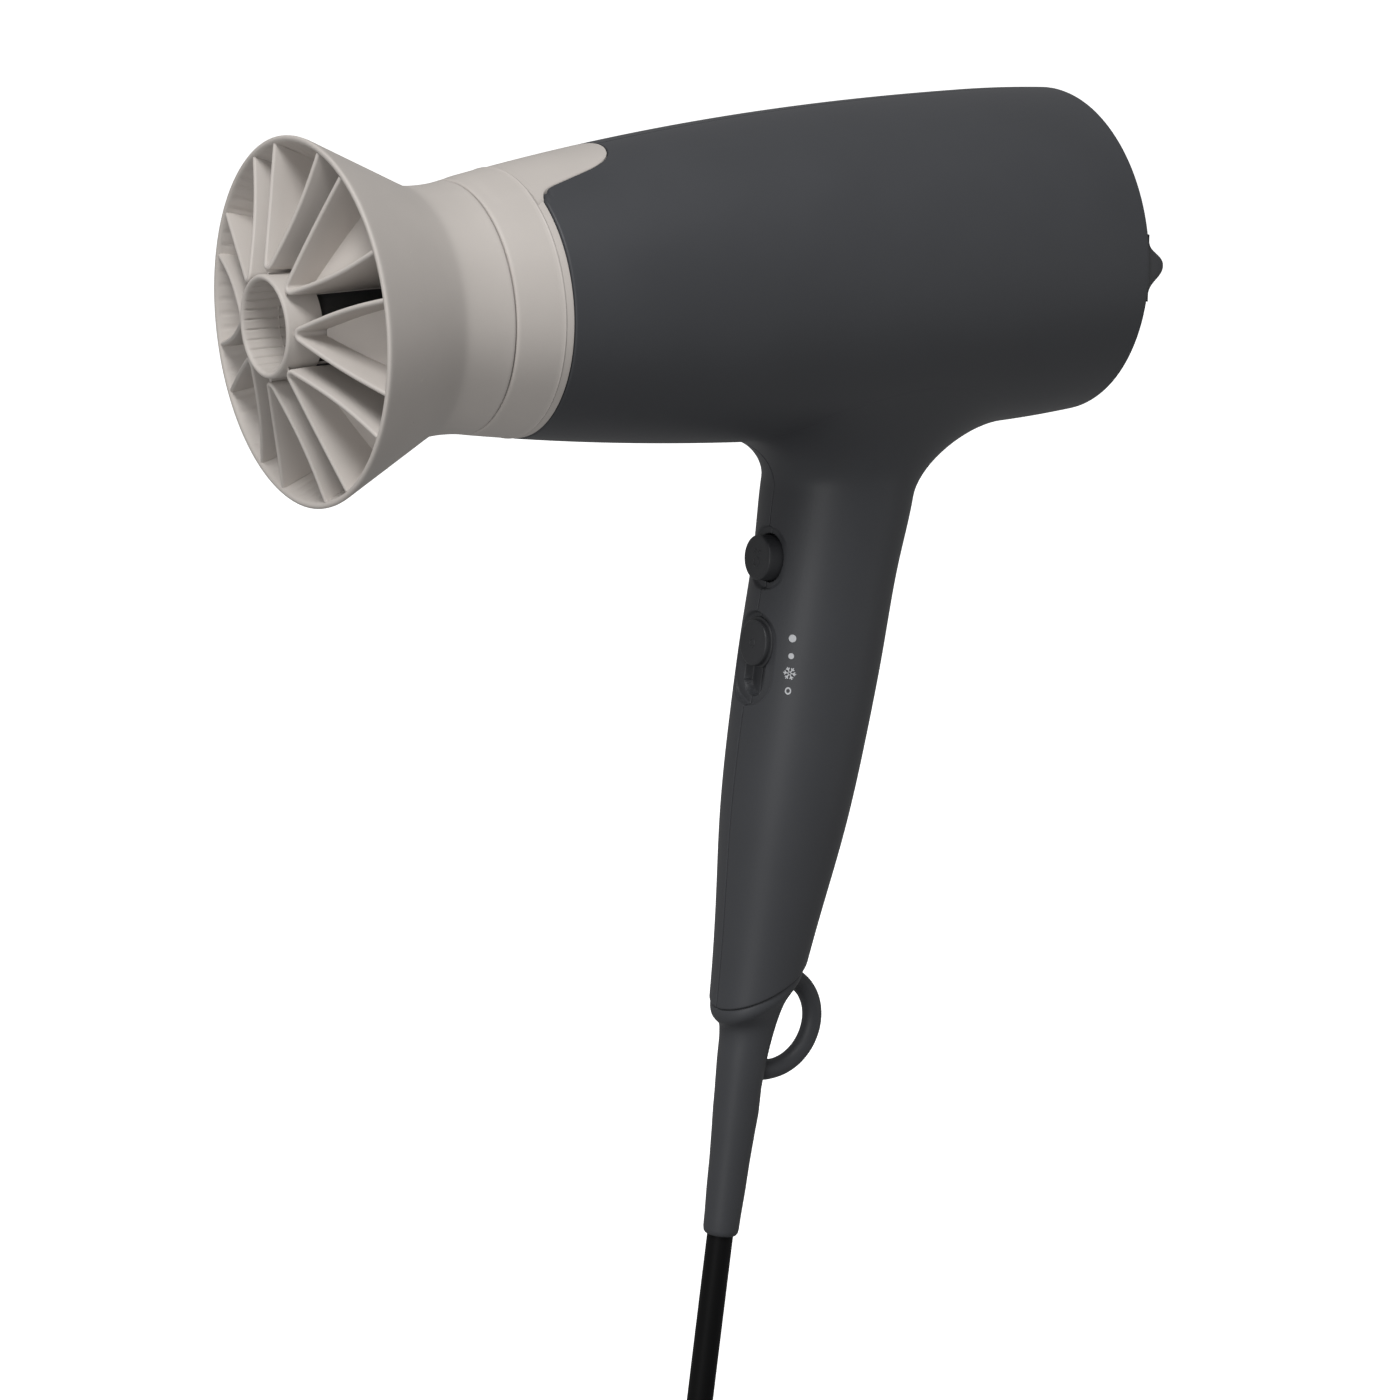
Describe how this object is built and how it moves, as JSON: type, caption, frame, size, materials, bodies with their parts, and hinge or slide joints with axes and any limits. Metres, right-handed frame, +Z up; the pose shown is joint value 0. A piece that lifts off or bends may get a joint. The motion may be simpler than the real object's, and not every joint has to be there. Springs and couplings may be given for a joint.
{
  "type": "hair dryer",
  "caption": "Handheld electric hair dryer with turnable spoked air nozzle, tapered handle with cool-shot button and slide switch, hanging loop and mains cord.",
  "frame": {"origin": "middle of the handle, on the plane where the two housing halves meet", "axes": "+X back along the barrel towards the air inlet, so air leaves towards -X; +Y across, towards the left housing half; +Z up, from the cord end of the handle towards the barrel"},
  "size_m": [0.2484, 0.1794, 0.416],
  "materials": {
    "housing_plastic": "fine matt grain, soft-touch charcoal",
    "control_plastic": "satin black-grey",
    "attachment_plastic": "fine matt grain, warm greige",
    "grille_plastic": "satin charcoal",
    "filter_mesh": "black woven mesh",
    "inner_plastic": "moulded black nylon",
    "mica_board": "mica sheet, slightly speckled",
    "resistance_wire": "wound heating wire",
    "steel": "plain steel",
    "damper_foam": "soft rubber sleeve",
    "circuit": "green laminate",
    "lead_insulation": "soft insulated wire",
    "mark_ink": "pale printed ink",
    "cord_rubber": "smooth satin black cable sheath",
    "plug_plastic": "moulded black plug",
    "pin_metal": "nickel-plated brass"
  },
  "bodies": {
    "dryer": {"housing_left": "housing_plastic", "housing_right": "housing_plastic", "outlet_collar": "attachment_plastic", "outlet_grille": "inner_plastic", "heat_shield": "mica_board", "heater_frame": "mica_board", "heating_coil_main": "resistance_wire", "heating_coil_booster": "resistance_wire", "thermostat": "steel", "thermal_fuse": "steel", "fan_duct": "inner_plastic", "motor_damper": "damper_foam", "motor_can": "steel", "motor_end_cap": "inner_plastic", "motor_capacitor": "lead_insulation", "inlet_filter": "filter_mesh", "cool_shot_spring": "steel", "cool_shot_switch": "inner_plastic", "switch_block": "inner_plastic", "circuit_board": "circuit", "position_marks": "mark_ink", "handle_end_cap": "housing_plastic", "cord_lead_in": "cord_rubber", "cord_clamp": "inner_plastic", "clamp_screws": "steel", "live_lead": "lead_insulation", "neutral_lead": "lead_insulation", "power_cord": "cord_rubber", "cord_coil": "cord_rubber", "cord_tail": "cord_rubber", "mains_plug": "plug_plastic", "plug_pins": "pin_metal"},
    "nozzle_clip": {"nozzle_clip_ring": "attachment_plastic"},
    "nozzle": {"nozzle_shell": "attachment_plastic", "nozzle_vanes": "attachment_plastic", "nozzle_hub_plug": "attachment_plastic"},
    "rear_cap": {"rear_grille": "grille_plastic"},
    "rotor": {"motor_shaft": "steel", "fan": "inner_plastic"},
    "cool_shot": {"cool_shot_button": "control_plastic"},
    "slider": {"slide_switch": "control_plastic"}
  },
  "joints": [
    {"name": "nozzle_pull", "type": "slide", "parent": "dryer", "child": "nozzle_clip", "axis": [-1, 0, 0], "range_m": [0, 0.025]},
    {"name": "nozzle_spin", "type": "hinge", "parent": "nozzle_clip", "child": "nozzle", "pos_m": [-0.1, 0, 0.12], "axis": [-1, 0, 0], "continuous": true},
    {"name": "rear_grille_pull", "type": "slide", "parent": "dryer", "child": "rear_cap", "axis": [1, 0, 0], "range_m": [0, 0.03]},
    {"name": "fan_spin", "type": "hinge", "parent": "dryer", "child": "rotor", "pos_m": [0.04, 0, 0.12], "axis": [1, 0, 0], "continuous": true},
    {"name": "cool_shot_press", "type": "slide", "parent": "dryer", "child": "cool_shot", "axis": [0.9903, 0, -0.1392], "range_m": [0, 0.002], "stiffness_N_per_m": 400, "springref_m": -0.002, "deforming": ["cool_shot_spring"]},
    {"name": "switch_slide", "type": "slide", "parent": "dryer", "child": "slider", "axis": [-0.1392, 0, -0.9903], "range_m": [0, 0.0085]}
  ]
}
